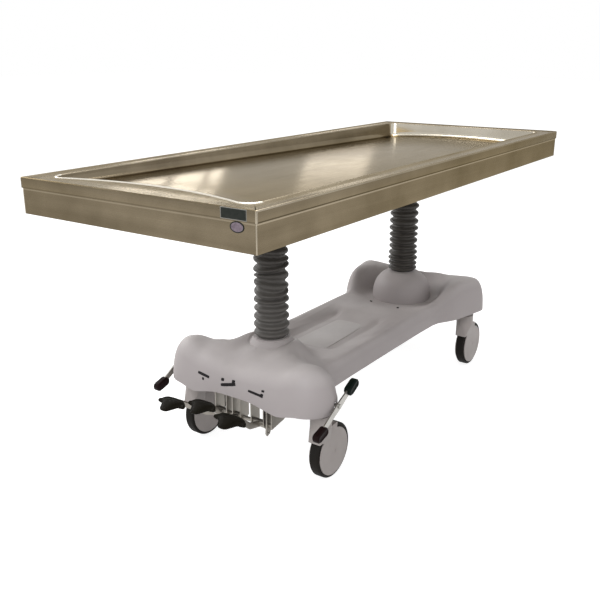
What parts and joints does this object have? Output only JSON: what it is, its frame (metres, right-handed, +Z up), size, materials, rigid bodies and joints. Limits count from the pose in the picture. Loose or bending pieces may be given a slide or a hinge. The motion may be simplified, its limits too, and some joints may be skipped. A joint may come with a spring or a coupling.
{
  "type": "embalming table",
  "caption": "Stainless tray table with basin and drain on two bellows-covered lifting columns, moulded base, foot pedals, brake rockers and swivel casters.",
  "frame": {"origin": "on the floor under the middle of the tray", "axes": "+X from the pedal end to the drain end, +Y to the far long side in the picture, +Z up"},
  "size_m": [2.014, 0.8, 0.935],
  "materials": {
    "tray_steel": "satin stainless steel",
    "frame_steel": "satin stainless steel",
    "frame_paint": "satin grey paint",
    "plated_steel": "dull zinc and hard chrome plating",
    "bush_bronze": "machined bronze",
    "bellows_rubber": "matt moulded rubber",
    "cover_plastic": "smooth matt moulding",
    "caster_plastic": "smooth matt moulding",
    "tyre_rubber": "smooth rubber",
    "pedal_rubber": "matt rubber",
    "brake_rubber": "matt dark red rubber",
    "steer_rubber": "matt dark green rubber"
  },
  "bodies": {
    "base": {"base_cover": "cover_plastic", "rear_dome": "cover_plastic", "front_collar": "cover_plastic", "chassis_rails": "frame_paint", "front_beam": "frame_paint", "rear_beam": "frame_paint", "column_plates": "frame_paint", "front_column_tube": "plated_steel", "rear_column_tube": "plated_steel", "guide_bushes": "bush_bronze", "caster_sockets": "frame_paint", "pump_unit": "plated_steel", "hydraulic_lines": "plated_steel", "pedal_hangers": "plated_steel", "pedal_shaft": "plated_steel", "front_bellows": "bellows_rubber", "rear_bellows_lower": "bellows_rubber"},
    "front_lift": {"front_ram": "plated_steel", "front_head": "frame_paint", "front_pivot_pin": "plated_steel"},
    "tray": {"tray_basin": "tray_steel", "skirt_sides": "tray_steel", "skirt_ends": "tray_steel", "tray_rails": "frame_steel", "cross_bearers": "frame_steel", "drain_outlet": "tray_steel", "front_pivot_bracket": "frame_paint", "rear_slot_bracket": "frame_paint"},
    "rear_stage": {"rear_mid_stage": "plated_steel", "rear_bellows_upper": "bellows_rubber"},
    "rear_lift": {"rear_ram": "plated_steel", "rear_head": "frame_paint", "rear_slide_pin": "plated_steel"},
    "pedal_far": {"pedal_lever_far": "plated_steel", "pedal_pad_far": "pedal_rubber"},
    "pedal_middle": {"pedal_lever_middle": "plated_steel", "pedal_pad_middle": "pedal_rubber"},
    "pedal_near": {"pedal_lever_near": "plated_steel", "pedal_pad_near": "pedal_rubber"},
    "rocker": {"brake_shaft": "plated_steel", "rocker_arms": "plated_steel", "brake_pads": "brake_rubber", "steer_pads": "steer_rubber"},
    "caster_front_near": {"caster_housing_front_near": "caster_plastic", "caster_axle_front_near": "plated_steel"},
    "wheel_front_near": {"wheel_tyre_front_near": "tyre_rubber", "wheel_centre_front_near": "caster_plastic"},
    "caster_front_far": {"caster_housing_front_far": "caster_plastic", "caster_axle_front_far": "plated_steel"},
    "wheel_front_far": {"wheel_tyre_front_far": "tyre_rubber", "wheel_centre_front_far": "caster_plastic"},
    "caster_rear_near": {"caster_housing_rear_near": "caster_plastic", "caster_axle_rear_near": "plated_steel"},
    "wheel_rear_near": {"wheel_tyre_rear_near": "tyre_rubber", "wheel_centre_rear_near": "caster_plastic"},
    "caster_rear_far": {"caster_housing_rear_far": "caster_plastic", "caster_axle_rear_far": "plated_steel"},
    "wheel_rear_far": {"wheel_tyre_rear_far": "tyre_rubber", "wheel_centre_rear_far": "caster_plastic"}
  },
  "joints": [
    {"name": "lift", "type": "slide", "parent": "base", "child": "front_lift", "axis": [0, 0, 1], "range_m": [-0.2, 0.05], "deforming": ["front_bellows"]},
    {"name": "tilt", "type": "hinge", "parent": "front_lift", "child": "tray", "pos_m": [-0.429, 0, 0.851], "axis": [0, 1, 0], "range_deg": [-4, 4]},
    {"name": "rear_stage_lift", "type": "slide", "parent": "base", "child": "rear_stage", "axis": [0, 0, 1], "range_m": [-0.2, 0.05], "deforming": ["rear_bellows_lower"]},
    {"name": "rear_ram_slide", "type": "slide", "parent": "rear_stage", "child": "rear_lift", "axis": [0, 0, 1], "range_m": [-0.0615, 0.0615], "deforming": ["rear_bellows_upper"]},
    {"name": "pedal_far_press", "type": "hinge", "parent": "base", "child": "pedal_far", "pos_m": [-0.572, 0.084, 0.162], "axis": [0, 1, 0], "range_deg": [-16, 0], "stiffness_Nm_per_rad": 6, "springref_deg": 17.19},
    {"name": "pedal_middle_press", "type": "hinge", "parent": "base", "child": "pedal_middle", "pos_m": [-0.572, 0.022, 0.162], "axis": [0, 1, 0], "range_deg": [-16, 0], "stiffness_Nm_per_rad": 6, "springref_deg": 17.19},
    {"name": "pedal_near_press", "type": "hinge", "parent": "base", "child": "pedal_near", "pos_m": [-0.572, -0.06, 0.162], "axis": [0, 1, 0], "range_deg": [-16, 0], "stiffness_Nm_per_rad": 6, "springref_deg": 17.19},
    {"name": "rocker_turn", "type": "hinge", "parent": "base", "child": "rocker", "pos_m": [-0.522, 0, 0.267], "axis": [0, 1, 0], "range_deg": [0, 56]},
    {"name": "swivel_front_near", "type": "hinge", "parent": "base", "child": "caster_front_near", "pos_m": [-0.522, -0.25, 0.2], "axis": [0, 0, 1], "continuous": true},
    {"name": "roll_front_near", "type": "hinge", "parent": "caster_front_near", "child": "wheel_front_near", "pos_m": [-0.474, -0.25, 0.088], "axis": [0, 1, 0], "continuous": true},
    {"name": "swivel_front_far", "type": "hinge", "parent": "base", "child": "caster_front_far", "pos_m": [-0.522, 0.25, 0.2], "axis": [0, 0, 1], "continuous": true},
    {"name": "roll_front_far", "type": "hinge", "parent": "caster_front_far", "child": "wheel_front_far", "pos_m": [-0.474, 0.25, 0.088], "axis": [0, 1, 0], "continuous": true},
    {"name": "swivel_rear_near", "type": "hinge", "parent": "base", "child": "caster_rear_near", "pos_m": [0.578, -0.23, 0.2], "axis": [0, 0, 1], "continuous": true},
    {"name": "roll_rear_near", "type": "hinge", "parent": "caster_rear_near", "child": "wheel_rear_near", "pos_m": [0.626, -0.23, 0.088], "axis": [0, 1, 0], "continuous": true},
    {"name": "swivel_rear_far", "type": "hinge", "parent": "base", "child": "caster_rear_far", "pos_m": [0.578, 0.23, 0.2], "axis": [0, 0, 1], "continuous": true},
    {"name": "roll_rear_far", "type": "hinge", "parent": "caster_rear_far", "child": "wheel_rear_far", "pos_m": [0.626, 0.23, 0.088], "axis": [0, 1, 0], "continuous": true}
  ],
  "couplings": [
    {"joint": "rear_stage_lift", "follows": "lift", "ratio": 1},
    {"joint": "rear_ram_slide", "follows": "tilt", "m_per_rad": -0.88}
  ]
}
